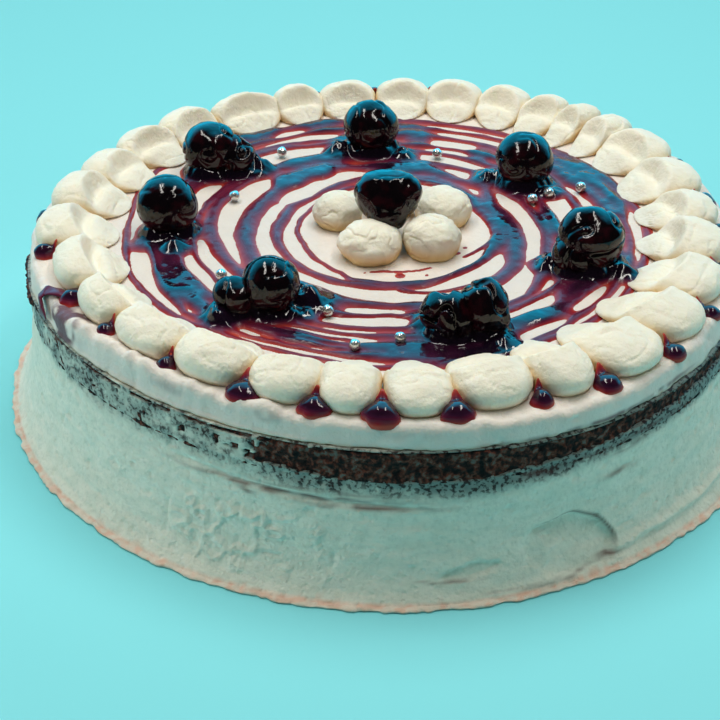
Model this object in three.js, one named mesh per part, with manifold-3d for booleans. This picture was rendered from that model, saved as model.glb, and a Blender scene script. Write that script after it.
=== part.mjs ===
// White chocolate cherry cake. Millimetres, +Z up, origin at the middle of its underside.
// A frosted round cake with one dark sponge layer showing at its side, a ring of piped cream
// dollops round the rim, rings of cherry sauce, seven cherries and one more on a piped middle.

import * as THREE from 'three';
import { mergeVertices } from 'three/addons/utils/BufferGeometryUtils.js';
import Module from 'manifold-3d';

const wasm = await Module();
wasm.setup();

// Driving sizes of the body
const CAKE_HEIGHT = 60;
const SPONGE_BOTTOM = 41.5;
const SPONGE_TOP = 51;
const LAYER_GAP = 0.3;
const FOOT_RADIUS = 144.6;
const SPONGE_RADIUS = 130;
const RIM_RADIUS = 127.6;
const ROUND_STEPS = 64;

// The cake was smoothed by hand: it stands higher on its left, and it is a little off round.
// Each row holds how far the outline swells, as cosine and sine of two and of three times the angle.
const LEAN_X = -0.016;
const LEAN_Y = -0.003;
const TOP_LOBES = [-0.6, -0.5, -2.8, 1.2];
const BASE_LOBES = [-0.2, -0.8, -0.4, 1.4];

// A thumb dent low on the front of the wall
const DENT_ANGLE = -66;
const DENT_HALF_ANGLE = 9;
const DENT_HEIGHT = 11;
const DENT_HALF_HEIGHT = 11;
const DENT_DEPTH = 2.6;

// Piped dollops round the rim: how many degrees each takes, counted from the first crease
const FIRST_CREASE = -172;
const DOLLOP_SPANS = [
  16, 13, 15, 14.5, 12, 10, 11, 13, 10.5, 14, 13.5, 14.5, 14, 12.5, 14,
  13, 7.5, 6.5, 8, 10, 11, 11, 11.5, 10, 14, 11.5, 11.5, 11.5, 12.5, 13,
];
const DOLLOP_HEIGHT = 11;
const DOLLOP_SIDE_GAP = 0.25;
const DOLLOP_STEPS = 12;
const DOLLOP_RINGS = [0.36, 0.66, 0.88, 1];
const REST_GAP = 0.3;

// The shelf of cream left outside the dollops: angle, and how far inside the rim they end there
const HEAD_INSETS = [
  [-180, 0.8], [-161, 6], [-148, 4.5], [-130, 3.3], [-85, 3.4], [-71, 5.6], [-50, 1.2], [-40, 0.6],
  [0, 3.4], [20, 3], [45, 0.6], [70, 3], [90, 2], [110, 3], [130, 0.6], [160, 3], [180, 0.8],
];

// Cherry sauce drizzled in rings: radius, middle x, middle y and width of each thread
const SAUCE_RINGS = [
  [38, 2, 3.2, 2.6],
  [44.5, -0.5, 2.5, 4],
  [51.5, -4, 2, 7.5],
  [60, -5, 2, 5],
  [67, -4, 1, 3.2],
  [73.5, -5, 1, 3.4],
  [81, -4, 2, 6.5],
  [88.5, -3, 3, 3],
  [94, -2.5, 3, 4],
];
const SAUCE_HEIGHT = 1;
const SAUCE_SINK = 0.5;
const RING_CHORD = 15;
const SAUCE_EDGE = 98;
const SAUCE_EDGE_SHIFT = 4.5;
const SAUCE_EDGE_TOWARDS = 135;

// Sauce caught in the creases between the dollops
const BLOB_WIDTH = 7.4;
const BLOB_LENGTH = 9;
const BLOB_HEIGHT = 4.6;
const BLOB_OUT = 1.6;
const BLOB_STEPS = 6;
const BLOB_RINGS = 4;

// Cherries on puddles of sauce: middle x, y, then lumps as offset x, y, and radii x, y, z
const PUDDLE_RADIUS = 16;
const PUDDLE_EDGE = 1.5;
const PUDDLE_STEPS = 12;
const CHERRIES = [
  { x: -80.5, y: 1, lumps: [[0, 0, 11.2, 11, 11]] },
  { x: -67, y: 51, lumps: [[-1.5, 0, 10.8, 10.5, 10], [7, -1, 8.2, 8, 7.2]] },
  { x: -6.6, y: 70, lumps: [[0, 0, 11, 10.5, 10.4]] },
  { x: 51.4, y: 40, lumps: [[0, 0, 11, 11, 10.6]] },
  { x: 70.5, y: -27, lumps: [[0, 0, 12.2, 11.5, 12.2], [-6, -3, 8, 8, 7]] },
  { x: 26, y: -73, lumps: [[5, 1, 8.8, 9, 9.6], [-6, -1, 9, 8.4, 8.4]] },
  { x: -43.5, y: -58, lumps: [[3, 1, 10, 10, 10], [-9, -1, 7.6, 7, 6.4]] },
];
const CHERRY_STEPS = 12;
const CHERRY_RINGS = 8;
const CHERRY_DENT = 0.07;

// The piped middle: angle, distance, radius and height of each blob, and the cherry it carries
const MIDDLE_DOLLOPS = [
  [-112, 18.4, 11.2, 13],
  [-43, 20.8, 10.7, 13.5],
  [26, 22, 10.7, 13],
  [88, 17.5, 9.6, 12],
  [156, 20.5, 9.2, 11.5],
];
const MIDDLE_GAP = 0.35;
const MIDDLE_STEPS = 14;
const TOP_CHERRY = { x: -0.6, y: -3.6, z: 76.4, radii: [12.2, 11.2, 10.6] };

// Silver sugar balls: where each of them lies
const DRAGEE_RADIUS = 2;
const DRAGEE_STEPS = 7;
const DRAGEE_RINGS = 5;
const DRAGEES = [
  [-58, 25.5], [-41.7, 63.7], [19, 62], [53.5, 22.5], [60, 27.5],
  [72.4, 32], [-59, -36], [-21.3, -61.4], [-12, -84], [3, -79.4],
];

const CREAM = new THREE.MeshStandardMaterial({ color: 0xeee6d4, roughness: 0.55, metalness: 0 });
const FROSTING = new THREE.MeshStandardMaterial({ color: 0xe4e6da, roughness: 0.6, metalness: 0 });
const SPONGE = new THREE.MeshStandardMaterial({ color: 0x3b2119, roughness: 0.9, metalness: 0 });
const CHERRY = new THREE.MeshStandardMaterial({ color: 0x14080c, roughness: 0.12, metalness: 0 });

const radians = THREE.MathUtils.degToRad;

// A small repeatable random sequence, for the unevenness of piped cream
function seededRandom(seed) {
  let state = seed;
  return () => {
    state = (state * 16807) % 2147483647;
    return state / 2147483647;
  };
}

// The smallest turn from one angle to another, in degrees
function turnBetween(a, b) {
  return ((a - b + 540) % 360) - 180;
}

function swell(angle, [cosTwo, sinTwo, cosThree, sinThree]) {
  const t = radians(angle);
  return (
    cosTwo * Math.cos(2 * t) + sinTwo * Math.sin(2 * t) +
    cosThree * Math.cos(3 * t) + sinThree * Math.sin(3 * t)
  );
}

// How far the outline stands out beyond a true circle, from the base to the rim
function outlineSwell(angle, z) {
  const up = THREE.MathUtils.clamp(z / CAKE_HEIGHT, 0, 1);
  return (1 - up) * swell(angle, BASE_LOBES) + up * swell(angle, TOP_LOBES);
}

function rimRadius(angle) {
  return RIM_RADIUS + swell(angle, TOP_LOBES);
}

// Outer foot of the dollops, and the edge of the drizzled field where their tails end
function dollopFoot(angle) {
  const turned = turnBetween(angle, 0);
  const next = HEAD_INSETS.findIndex(([at]) => at > turned);
  const [[from, first], [to, second]] = [HEAD_INSETS[next - 1], HEAD_INSETS[next]];
  const inset = THREE.MathUtils.mapLinear(turned, from, to, first, second);
  return rimRadius(angle) - inset;
}

function sauceEdge(angle) {
  return SAUCE_EDGE + SAUCE_EDGE_SHIFT * Math.cos(radians(angle - SAUCE_EDGE_TOWARDS));
}

// Moves every vertex of a geometry by a function that changes the vector it is given
function bend(geometry, move) {
  const position = geometry.attributes.position;
  const point = new THREE.Vector3();
  for (let i = 0; i < position.count; i += 1) {
    point.fromBufferAttribute(position, i);
    move(point);
    position.setXYZ(i, point.x, point.y, point.z);
  }
  return geometry;
}

// The settled cake leans: every height grows towards its left and shrinks towards its right
function settle(geometry) {
  return bend(geometry, (p) => {
    p.z *= 1 + (LEAN_X * p.x + LEAN_Y * p.y) / CAKE_HEIGHT;
  });
}

// A closed solid of a geometry, with merged vertices and its faces pointing out
function solidOf(geometry) {
  const bare = geometry.clone();
  bare.deleteAttribute('normal');
  bare.deleteAttribute('uv');
  const merged = mergeVertices(bare, 1e-3);
  const corners = merged.index.array;
  const triangles = [];
  for (let i = 0; i < corners.length; i += 3) {
    const [a, b, c] = [corners[i], corners[i + 1], corners[i + 2]];
    if (a !== b && b !== c && c !== a) triangles.push(a, b, c);
  }
  const make = (list) => new wasm.Manifold(new wasm.Mesh({
    numProp: 3,
    vertProperties: new Float32Array(merged.attributes.position.array),
    triVerts: new Uint32Array(list),
  }));
  const body = make(triangles);
  return body.volume() > 0 ? body : make(triangles.reverse());
}

// A named mesh of one solid, leaning as the settled cake does
function meshOf(name, solid, material) {
  const { vertProperties, triVerts } = solid.getMesh();
  const geometry = new THREE.BufferGeometry();
  geometry.setAttribute('position', new THREE.BufferAttribute(vertProperties, 3));
  geometry.setIndex(new THREE.BufferAttribute(triVerts, 1));
  settle(geometry).computeVertexNormals();
  const mesh = new THREE.Mesh(geometry, material);
  mesh.name = name;
  return mesh;
}

// Turns a profile of radius and height pairs about the upright axis
function turned(profile, steps) {
  const points = profile.map(([radius, height]) => new THREE.Vector2(radius, height));
  return new THREE.LatheGeometry(points, steps).rotateX(Math.PI / 2);
}

// Pushes a turned body out to the cake's own outline
function followOutline(geometry) {
  return bend(geometry, (p) => {
    const angle = THREE.MathUtils.radToDeg(Math.atan2(p.y, p.x));
    const scale = 1 + outlineSwell(angle, p.z) / SPONGE_RADIUS;
    p.x *= scale;
    p.y *= scale;
  });
}

// Presses the thumb dent into the wall
function pressDent(geometry) {
  return bend(geometry, (p) => {
    const radius = Math.hypot(p.x, p.y);
    const angle = THREE.MathUtils.radToDeg(Math.atan2(p.y, p.x));
    const across = turnBetween(angle, DENT_ANGLE) / DENT_HALF_ANGLE;
    const up = (p.z - DENT_HEIGHT) / DENT_HALF_HEIGHT;
    const inside = 1 - across * across - up * up;
    if (inside > 0 && radius > SPONGE_RADIUS) {
      const scale = 1 - (DENT_DEPTH * Math.sqrt(inside)) / radius;
      p.x *= scale;
      p.y *= scale;
    }
  });
}

// Frosted lower body, from the thin smeared foot up to the sponge layer
function cakeBase() {
  const profile = [
    [0, 0], [FOOT_RADIUS, 0], [FOOT_RADIUS, 1], [141.2, 2], [139.2, 4], [136.6, 9],
    [134.2, 17], [132.4, 26], [131, 35], [130.3, SPONGE_BOTTOM - LAYER_GAP],
    [0, SPONGE_BOTTOM - LAYER_GAP],
  ];
  return solidOf(pressDent(followOutline(turned(profile, ROUND_STEPS))));
}

// Dark sponge layer that runs through the cake, with a baked lip at its upper edge
function spongeLayer() {
  const lip = SPONGE_RADIUS + 0.5;
  const profile = [
    [0, SPONGE_BOTTOM], [SPONGE_RADIUS, SPONGE_BOTTOM], [SPONGE_RADIUS - 0.2, 46],
    [lip, SPONGE_TOP - 1.4], [lip - 0.6, SPONGE_TOP], [0, SPONGE_TOP],
  ];
  const random = seededRandom(11);
  const layer = followOutline(turned(profile, ROUND_STEPS));
  const crag = Array.from({ length: ROUND_STEPS }, () => random() - 0.5);
  bend(layer, (p) => {
    const step = Math.round((Math.atan2(p.y, p.x) / (2 * Math.PI)) * ROUND_STEPS) + ROUND_STEPS;
    const scale = Math.hypot(p.x, p.y) > 1 ? 1 + (1.1 * crag[step % ROUND_STEPS]) / SPONGE_RADIUS : 1;
    p.x *= scale;
    p.y *= scale;
  });
  return solidOf(layer);
}

// One closed thread of sauce with a low rounded section
function sauceRing([radius, middleX, middleY, width]) {
  const low = CAKE_HEIGHT - SAUCE_SINK;
  const high = CAKE_HEIGHT + SAUCE_HEIGHT;
  const profile = [
    [radius - width / 2, low], [radius + width / 2, low],
    [radius + width / 4, high], [radius - width / 4, high], [radius - width / 2, low],
  ];
  const steps = Math.round((2 * Math.PI * radius) / RING_CHORD);
  return turned(profile, steps).translate(middleX, middleY, 0);
}

// The puddle of sauce under a cherry
function puddle({ x, y }) {
  const low = CAKE_HEIGHT - SAUCE_SINK;
  const high = CAKE_HEIGHT + SAUCE_HEIGHT;
  const profile = [[0, low], [PUDDLE_RADIUS, low], [PUDDLE_RADIUS - PUDDLE_EDGE, high], [0, high]];
  return turned(profile, PUDDLE_STEPS).translate(x, y, 0);
}

// The drop of sauce in one crease, lying on the ledge between two dollops
function sauceBlob(angle) {
  const blob = new THREE.SphereGeometry(1, BLOB_STEPS, BLOB_RINGS).rotateX(Math.PI / 2);
  blob.scale(BLOB_LENGTH / 2, BLOB_WIDTH / 2, BLOB_HEIGHT);
  blob.rotateZ(radians(angle));
  const radius = dollopFoot(angle) + BLOB_OUT;
  return blob.translate(radius * Math.cos(radians(angle)), radius * Math.sin(radians(angle)), CAKE_HEIGHT);
}

function dragee([x, y]) {
  const ball = new THREE.SphereGeometry(DRAGEE_RADIUS, DRAGEE_STEPS, DRAGEE_RINGS).rotateX(Math.PI / 2);
  return ball.translate(x, y, CAKE_HEIGHT + DRAGEE_RADIUS);
}

// Cream slab on the sponge, with the thick sauce, its drops and the sugar balls joined on
function creamTop(creases) {
  const profile = [
    [0, SPONGE_TOP + LAYER_GAP], [129.8, SPONGE_TOP + LAYER_GAP], [129.3, 55], [128.9, 58],
    [128.2, 59.3], [126.8, CAKE_HEIGHT], [0, CAKE_HEIGHT],
  ];
  const toppings = [
    ...SAUCE_RINGS.map(sauceRing),
    ...CHERRIES.map(puddle),
    ...creases.map(sauceBlob),
    ...DRAGEES.map(dragee),
  ];
  let slab = solidOf(followOutline(turned(profile, ROUND_STEPS)));
  for (const topping of toppings) {
    slab = slab.add(solidOf(topping));
  }
  return slab;
}

// Height of a rim dollop along its length, as a share of its full height: a fat head at the
// outer end (-1), a scoop pressed behind it, and a smeared tail that thins out towards +1
function dollopProfile(along) {
  const scoop = THREE.MathUtils.smoothstep(along, -0.25, 0.2);
  return 1 - 0.5 * scoop - 0.2 * THREE.MathUtils.smoothstep(along, 0.2, 1);
}

// Keeps a plan squarer than a circle, so that neighbours meet along a crease
function squarer(value) {
  return Math.sign(value) * Math.pow(Math.abs(value), 0.84);
}

function rimDollop(from, span, random) {
  const angle = from + span / 2;
  const foot = dollopFoot(angle);
  const tail = sauceEdge(angle) + 1 + random() * 1.5;
  const height = DOLLOP_HEIGHT + (random() - 0.5) * 2;
  const profile = [...DOLLOP_RINGS].reverse().map((share) => [share, Math.sqrt(1 - share ** 2.6)]);
  const unit = turned([[0, 0], ...profile, [0, 1]], DOLLOP_STEPS);
  const dollop = bend(unit, (p) => {
    const ring = Math.hypot(p.x, p.y);
    const across = ring > 0 ? ring * squarer(p.x / ring) : 0;
    const along = ring > 0 ? ring * squarer(p.y / ring) : 0;
    const radius = (foot + tail) / 2 - (along * (foot - tail)) / 2;
    const half = radius * Math.tan(radians(span / 2)) - DOLLOP_SIDE_GAP;
    p.set(radius, across * half, CAKE_HEIGHT + REST_GAP + height * p.z * dollopProfile(along));
  });
  return solidOf(dollop.rotateZ(radians(angle)));
}

// A ball with a few shallow dents, flat where it rests
function fruitLump(x, y, z, [radiusX, radiusY, radiusZ], seed, floor) {
  const random = seededRandom(seed);
  const turn = random() * 6;
  const ball = new THREE.SphereGeometry(1, CHERRY_STEPS, CHERRY_RINGS).rotateX(Math.PI / 2);
  bend(ball, (p) => {
    const dent = Math.sin(3 * p.x + turn) * Math.cos(2.5 * p.y - turn) * Math.cos(2 * p.z);
    p.multiplyScalar(1 + CHERRY_DENT * dent);
    p.set(x + radiusX * p.x, y + radiusY * p.y, Math.max(z + radiusZ * p.z, floor));
  });
  return ball;
}

function ringCherry({ x, y, lumps }, index) {
  const floor = CAKE_HEIGHT + SAUCE_HEIGHT + REST_GAP;
  const solids = lumps.map(([dx, dy, rx, ry, rz], lump) => {
    const seed = 41 + index * 7 + lump;
    return solidOf(fruitLump(x + dx, y + dy, floor + rz * 0.88, [rx, ry, rz], seed, floor));
  });
  return solids.reduce((joined, solid) => joined.add(solid));
}

// A piped blob of the middle, with the room that the top cherry takes pressed into it
function middleDollop([angle, distance, radius, height], press) {
  const profile = [[0, 0], [0.96, 0], [1, 0.3], [0.9, 0.62], [0.68, 0.86], [0.36, 0.97], [0, 1]];
  const unit = turned(profile, MIDDLE_STEPS).scale(radius, radius, height);
  const x = distance * Math.cos(radians(angle));
  const y = distance * Math.sin(radians(angle));
  const blob = solidOf(unit.translate(x, y, CAKE_HEIGHT + REST_GAP));
  return blob.subtract(press);
}

const cake = new THREE.Group();
cake.add(meshOf('cake_base', cakeBase(), FROSTING));
cake.add(meshOf('sponge_layer', spongeLayer(), SPONGE));

const creases = [];
const random = seededRandom(7);
let crease = FIRST_CREASE;
DOLLOP_SPANS.forEach((span, i) => {
  const name = `dollop_${String(i + 1).padStart(2, '0')}`;
  cake.add(meshOf(name, rimDollop(crease, span, random), CREAM));
  creases.push(crease);
  crease += span;
});
cake.add(meshOf('cream_top', creamTop(creases), CREAM));

CHERRIES.forEach((cherry, i) => {
  cake.add(meshOf(`cherry_${i + 1}`, ringCherry(cherry, i), CHERRY));
});

const { x, y, z, radii } = TOP_CHERRY;
const pressRadii = radii.map((radius) => radius + MIDDLE_GAP);
cake.add(meshOf('cherry_centre', solidOf(fruitLump(x, y, z, radii, 97, 0)), CHERRY));
const press = solidOf(fruitLump(x, y, z, pressRadii, 97, 0));
MIDDLE_DOLLOPS.forEach((row, i) => {
  cake.add(meshOf(`centre_dollop_${i + 1}`, middleDollop(row, press), CREAM));
});

export default cake;
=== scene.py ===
import bpy
import numpy as np
from mathutils import Matrix, Vector


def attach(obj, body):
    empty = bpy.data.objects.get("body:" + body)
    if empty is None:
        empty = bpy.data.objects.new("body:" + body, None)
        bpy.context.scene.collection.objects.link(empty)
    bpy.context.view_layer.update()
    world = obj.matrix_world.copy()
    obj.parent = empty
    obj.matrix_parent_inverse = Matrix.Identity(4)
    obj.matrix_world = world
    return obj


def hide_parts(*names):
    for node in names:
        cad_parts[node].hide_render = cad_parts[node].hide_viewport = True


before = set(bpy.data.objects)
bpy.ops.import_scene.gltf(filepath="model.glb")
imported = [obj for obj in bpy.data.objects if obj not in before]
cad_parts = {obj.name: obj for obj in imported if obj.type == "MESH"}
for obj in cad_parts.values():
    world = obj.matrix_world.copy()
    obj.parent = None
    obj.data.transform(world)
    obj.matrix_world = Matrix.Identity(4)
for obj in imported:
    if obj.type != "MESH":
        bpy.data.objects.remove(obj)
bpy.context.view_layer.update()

MM = 0.001

# ---- sizes shared with the solids
CAKE_HEIGHT = 60.0
SPONGE_BOTTOM = 41.5
SPONGE_TOP = 51.0
SPONGE_RADIUS = 130.0
RIM_RADIUS = 127.6
LEAN = (-0.016, -0.003)
TOP_LOBES = (-0.6, -0.5, -2.8, 1.2)
BASE_LOBES = (-0.2, -0.8, -0.4, 1.4)
WALL_PROFILE = [(141.2, 2), (139.2, 4), (136.6, 9), (134.2, 17), (132.4, 26), (131, 35), (130.3, 41.2),
                (129.9, 46), (129.9, 52.5)]
SLAB_PROFILE = [(129.7, 51.4), (129.3, 55), (128.9, 58), (128.2, 59.3), (126.8, 60)]
FOOT_RADIUS = 144.3

FIRST_CREASE = -172.0
DOLLOP_SPANS = [16, 13, 15, 14.5, 12, 10, 11, 13, 10.5, 14, 13.5, 14.5, 14, 12.5, 14,
                13, 7.5, 6.5, 8, 10, 11, 11, 11.5, 10, 14, 11.5, 11.5, 11.5, 12.5, 13]
DOLLOP_HEIGHT = 11.0
# How far inside the rim the dollops end, as angle and distance
HEAD_INSETS = [(-180, 0.8), (-161, 6), (-148, 4.5), (-130, 3.3), (-85, 3.4), (-71, 5.6), (-50, 1.2),
               (-40, 0.6), (0, 3.4), (20, 3), (45, 0.6), (70, 3), (90, 2), (110, 3), (130, 0.6), (160, 3)]
SAUCE_EDGE = 98.0
SAUCE_EDGE_SHIFT = 4.5
SAUCE_EDGE_TOWARDS = 135.0

DENT = dict(angle=-66.0, half_angle=7.6, height=11.5, half_height=10.5, depth=2.8)

# Middle x, y of each cherry, then its lumps: offset x, y and radii x, y, z
CHERRIES = [
    (-80.5, 1, [(0, 0, 11.2, 11, 11)]),
    (-67, 51, [(-1.5, 0, 10.8, 10.5, 10), (7, -1, 8.2, 8, 7.2)]),
    (-6.6, 70, [(0, 0, 11, 10.5, 10.4)]),
    (51.4, 40, [(0, 0, 11, 11, 10.6)]),
    (70.5, -27, [(0, 0, 12.2, 11.5, 12.2), (-6, -3, 8, 8, 7)]),
    (26, -73, [(5, 1, 8.8, 9, 9.6), (-6, -1, 9, 8.4, 8.4)]),
    (-43.5, -58, [(3, 1, 10, 10, 10), (-9, -1, 7.6, 7, 6.4)]),
]
TOP_CHERRY = (-0.6, -3.6, 76.4, (12.2, 11.2, 10.6))
# Angle, distance, radius and height of each blob of the piped middle
MIDDLE_DOLLOPS = [(-112, 18.4, 11.2, 13), (-43, 20.8, 10.7, 13.5), (26, 22, 10.7, 13),
                  (88, 17.5, 9.6, 12), (156, 20.5, 9.2, 11.5)]
DRAGEE_RADIUS = 2.0
DRAGEES = [(-58, 25.5), (-41.7, 63.7), (19, 62), (53.5, 22.5), (60, 27.5),
           (72.4, 32), (-59, -36), (-21.3, -61.4), (-12, -84), (3, -79.4)]

# ---- drizzled sauce
# Each thread of sauce: points of angle, radius and width. A thread of the first list closes on itself.
CLOSED_THREADS = [
    [(-180, 33.4, 2.2), (-165, 31.8, 2.2), (-150, 32.6, 2.4), (-135, 33.4, 2.2), (-120, 35, 2.4),
     (-110, 38, 2.4), (-60, 39.5, 2), (-30, 39, 2), (0, 37.5, 2.4), (30, 37.5, 2.6), (45, 41.5, 2),
     (75, 43, 2), (100, 40.5, 2.4), (120, 37.2, 2.4), (150, 34.6, 2)],
    [(-180, 41, 4.6), (-150, 40.7, 4), (-120, 41.4, 5.2), (-75, 41, 5.2), (-60, 39.8, 4), (-45, 39.7, 3.4),
     (-15, 40, 4), (15, 40.5, 5), (30, 40.5, 6), (60, 44, 5), (90, 47, 6), (105, 45, 5),
     (120, 42, 5.5), (135, 40, 3), (150, 41.5, 6), (165, 40.5, 5.5)],
    [(-180, 52.6, 8.4), (-165, 52.5, 7.5), (-150, 54, 8), (-120, 52.8, 9), (-105, 53.5, 5.6), (-90, 55, 5.6),
     (-75, 54.2, 3.2), (-60, 53, 4), (-45, 52.5, 7.4), (-30, 50.6, 7), (-15, 46.5, 9.5), (0, 44.5, 8),
     (30, 44.5, 6), (45, 50.5, 5), (60, 50, 6), (75, 53, 8), (90, 53, 6), (112, 57, 5), (120, 55, 8),
     (135, 54.8, 7), (150, 52.5, 8.4), (165, 52.5, 8)],
    [(-180, 65.2, 5.6), (-165, 63, 5.6), (-150, 61.5, 5), (-120, 60, 4), (-105, 63, 3), (-90, 61, 3),
     (-75, 64, 4.4), (-60, 67, 3.8), (-45, 66.8, 4), (-30, 62, 5.6), (-15, 58.5, 5), (0, 56.5, 4.2),
     (15, 54.6, 3), (30, 56, 4.4), (45, 59.3, 3.4), (75, 59.5, 4), (90, 61, 5), (103, 63.5, 4.4),
     (115, 66.5, 4.6), (135, 68.3, 4.6), (150, 68.5, 5.4), (165, 67.5, 6)],
    [(-180, 71.8, 2.2), (-165, 71.8, 2), (-152, 70.6, 2), (-135, 71, 4), (-105, 70.5, 3.4), (-90, 70, 3.4),
     (-75, 70, 4.4), (-60, 70.3, 2.6), (-33, 70.5, 2.6), (-15, 66, 5), (0, 61.5, 4), (15, 60.8, 3.2),
     (30, 62, 5), (45, 67, 5), (75, 69, 4), (105, 69.5, 4.4), (120, 70, 4), (150, 72.2, 3)],
    [(-180, 79.5, 4.4), (-150, 79, 5), (-135, 77, 4.6), (-118, 74.5, 2.6), (-100, 74.8, 2.6), (-90, 75, 4.4),
     (-75, 77, 6), (-60, 77.5, 4.6), (-45, 78.5, 4.4), (-30, 78.5, 4.6), (-15, 74, 5), (0, 72.5, 4.6),
     (30, 73, 4), (45, 74, 4.6), (60, 74.3, 3), (85, 75, 2.4), (95, 77.5, 4.4), (113, 79.5, 3),
     (120, 82.3, 3), (135, 83.8, 3.6), (150, 82.5, 4), (165, 80, 4.4)],
    [(-180, 84.5, 4.4), (-165, 84, 6), (-150, 84, 8), (-135, 84, 4), (-118, 81.7, 3), (-104, 81.7, 3),
     (-90, 82, 6), (-75, 84, 7), (-60, 82.5, 6), (-45, 81, 2.8), (-34, 81, 2.6), (-15, 82, 4.4),
     (0, 84.5, 4), (15, 82, 6), (30, 80, 6), (45, 83, 5), (60, 83.5, 4), (75, 84, 4), (90, 85, 5),
     (105, 82, 3), (120, 85.5, 3.6), (135, 87, 3), (150, 86, 4), (165, 85, 4)],
    [(-180, 87.2, 2), (-165, 87.2, 2), (-150, 88.3, 2.6), (-140, 91, 2.4), (-125, 88, 2.2), (-104, 88, 2.2),
     (-90, 89, 4.4), (-75, 90, 5), (-60, 91.3, 3), (-52, 90.5, 2.4), (-45, 88, 2.6), (-25, 87.5, 3.2),
     (-15, 88, 4), (0, 87.7, 2.6), (7, 87, 2.4), (15, 89, 4.4), (30, 87, 5), (45, 90, 4.4), (60, 90.5, 4),
     (75, 90.6, 2.4), (90, 92, 5), (105, 91, 3), (120, 91, 3.4), (135, 91.5, 3), (150, 89, 2.6)],
    [(-180, 96.4, 2.2), (-165, 96.2, 2.2), (-150, 95.8, 3), (-140, 95, 3), (-128, 91.5, 2.6), (-105, 92.4, 3),
     (-97, 95, 3), (-85, 94.5, 4.4), (-75, 95, 4.4), (-60, 93.8, 3), (-45, 93.2, 3.4), (-20, 93, 4),
     (0, 94, 3.6), (15, 93.5, 4), (30, 93.5, 4.4), (45, 95, 4), (75, 97, 4.4), (90, 98, 5), (120, 99, 5),
     (135, 101, 3.6), (150, 103.5, 2.8), (160, 100.5, 2.4), (170, 97, 2.2)],
]
OPEN_THREADS = [
    [(-86, 44, 2), (-72, 47.2, 2), (-60, 48.6, 2.2), (-45, 50.4, 2.4)],
    [(-37, 32.2, 1.6), (-28, 33.5, 2), (-18, 35.8, 2.2), (-6, 38.4, 2.4)],
    [(-104, 30, 0.9), (-92, 29.4, 1), (-80, 29.8, 0.8), (-61, 30.2, 0.9)],
    [(-118, 78, 1.6), (-108, 78.6, 1.4), (-99, 78.2, 1.6)],
    [(-116, 85, 1.8), (-108, 84.9, 1.8), (-100, 85, 2)],
]
# Pools where the sauce ran together: middle x, y, half length, half width, direction
POOLS = [
    (-28, -48, 15, 6.4, -40), (8, -86, 20, 5, 0), (-74, -40, 12, 6, 117), (5, 53.5, 12, 5, 0),
    (-30, 52, 9, 5.6, 150), (-39, 43, 7, 6, 130), (74, 46, 17, 6.4, 120), (52, -62, 11, 4.2, 18),
    (-27, 92, 7, 6, 0), (-22, 60, 5, 6, 90), (0, 86, 18, 7, 0), (58, 8, 10, 3.6, 100),
    (-88, -8, 7, 5, 60), (13, -62, 9, 5, -50), (-60, 78, 9, 5, 30), (-50, 82, 8, 4, 60),
    (-16, 76, 7, 5, 80), (12, 78, 6, 4.6, 100), (48, 60, 8, 5, 100), (80, -22, 8, 5, 100),
    (34, -86, 12, 4, 20), (-34, -74, 12, 3.6, -25), (-60, -62, 10, 4, -50), (84, 20, 8, 4, 100),
    (62, -42, 9, 4, 60), (37, 66, 6, 5, 90),
]
# Heaps of thick syrup against the cherries: middle x, y, reach and height
MOUNDS = [(-77, -12, 8, 3), (-31, -54, 13, 5), (-57, -63, 9, 4), (13, -68, 8, 3.6), (36, -79, 8, 3.6),
          (57, -26, 9, 4.6), (82, -33, 7, 3), (39, 44, 9, 3.6), (60, 31, 7, 3), (-53, 52, 10, 5),
          (-19, 68, 8, 3.4), (6, 64, 7, 3), (28, -64, 6, 3.4)]
# Small round spots: x, y and radius
SPOTS = [(3.4, -32.6, 1.9), (12.8, -32.3, 0.7), (24, -16, 1.2), (27, -12, 0.8), (-9, -30.5, 0.5)]
SKIRT = 12.4

# ---- smooth repeatable noise
CELLS = 48
SEED_STEP = 7.31
LATTICE_SEED = 20
LATTICE = np.random.default_rng(LATTICE_SEED).random((CELLS, CELLS, CELLS)) * 2 - 1


def noise(points, size, seed=0):
    """Smooth noise between about -1 and 1, with features of the given size, at points of shape (..., 3)."""
    q = points * (1 / size) + seed * SEED_STEP
    cell = np.floor(q).astype(int)
    part = q - cell
    part = part * part * (3 - 2 * part)
    x0, y0, z0 = np.moveaxis(cell % CELLS, -1, 0)
    x1, y1, z1 = np.moveaxis((cell + 1) % CELLS, -1, 0)
    fx, fy, fz = np.moveaxis(part, -1, 0)

    def level(z):
        return (LATTICE[x0, y0, z] * (1 - fx) + LATTICE[x1, y0, z] * fx) * (1 - fy) \
            + (LATTICE[x0, y1, z] * (1 - fx) + LATTICE[x1, y1, z] * fx) * fy

    return level(z0) * (1 - fz) + level(z1) * fz


def flat_noise(x, y, size, seed=0):
    return noise(np.stack([x, y, np.full_like(x, 3.3)], -1), size, seed)


def rough(points, *layers):
    """Layers of noise, each given as height, size and seed, on top of each other."""
    return sum(height * noise(points, size, seed) for height, size, seed in layers)


def lines_of(value, low, high):
    """Thin lines where a value passes through 0."""
    return smooth(1 - np.abs(value), low, high)


def smooth(value, low, high):
    part = np.clip((value - low) / (high - low), 0, 1)
    return part * part * (3 - 2 * part)


def turn_between(a, b):
    return (a - b + 540) % 360 - 180


def far_from(angle, z, at, height, half_angle, half_height):
    """Squared distance from a spot on the wall: 0 at its middle and 1 on the edge of its ellipse."""
    return (turn_between(angle, at) / half_angle) ** 2 + ((z - height) / half_height) ** 2


def inside_arc(angle, start, end, soft=3.0):
    """1 between two angles and 0 outside, with soft ends."""
    middle, half = (start + end) / 2, (end - start) / 2
    return 1 - smooth(np.abs(turn_between(angle, middle)), half - soft / 2, half + soft / 2)


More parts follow.
